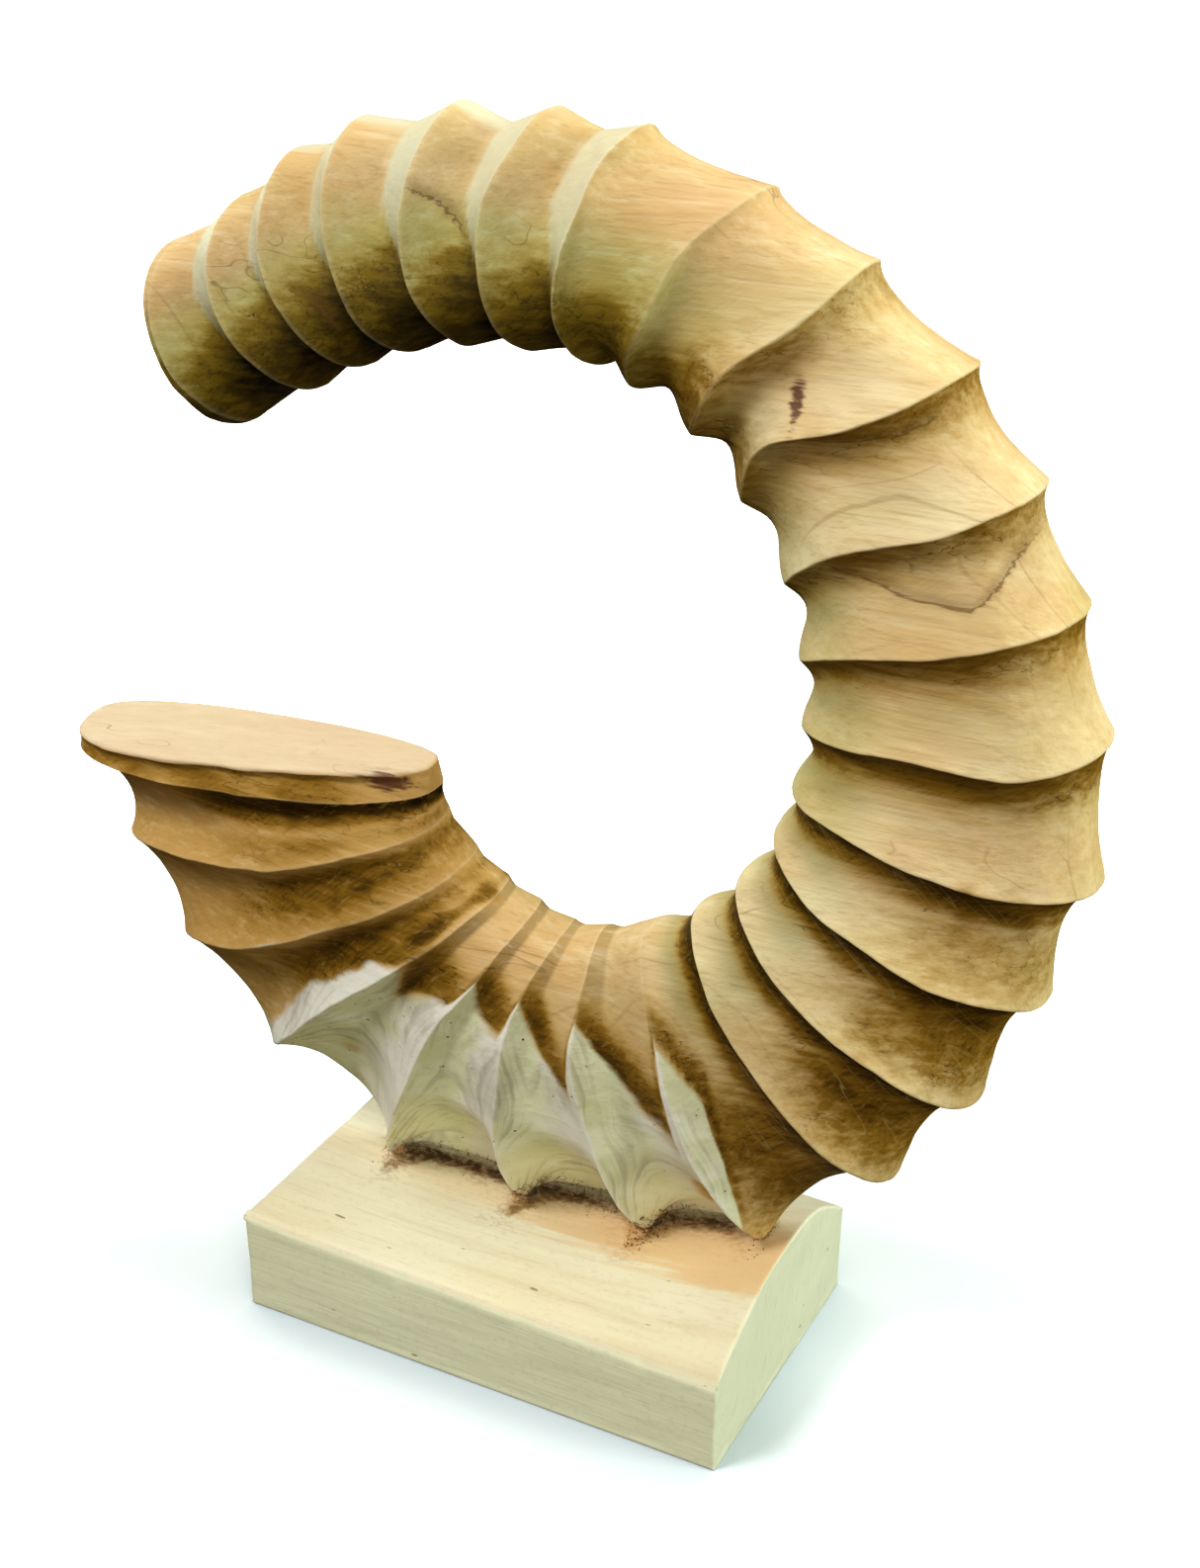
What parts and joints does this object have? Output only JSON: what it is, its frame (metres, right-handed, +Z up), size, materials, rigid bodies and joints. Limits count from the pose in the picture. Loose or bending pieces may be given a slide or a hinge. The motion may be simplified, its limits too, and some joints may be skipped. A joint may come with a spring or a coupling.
{
  "type": "carved horn sculpture",
  "caption": "Solid wood carving of a ridged, C-curled horn with a flat oval mouth, standing on its outer ridges on a rectangular wood block.",
  "frame": {"origin": "centre of the base block's underside, the face the sculpture stands on", "axes": "+X along the block's length towards the end where the block's top rises, -Y towards the side the sculpture is seen from, +Z up"},
  "size_m": [0.551, 0.159, 0.608],
  "materials": {
    "horn_wood": "hand-sanded, unfinished, with pale sapwood patches",
    "block_wood": "sawn and sanded pale wood",
    "screw_steel": "zinc-plated, dull",
    "washer_steel": "zinc-plated, dull",
    "dowel_wood": "plain turned hardwood"
  },
  "bodies": {
    "root": {"horn": "horn_wood", "base_block": "block_wood", "coach_screw_left": "screw_steel", "coach_screw_right": "screw_steel", "washer_left": "washer_steel", "washer_right": "washer_steel", "dowel_left": "dowel_wood", "dowel_right": "dowel_wood"}
  },
  "joints": []
}
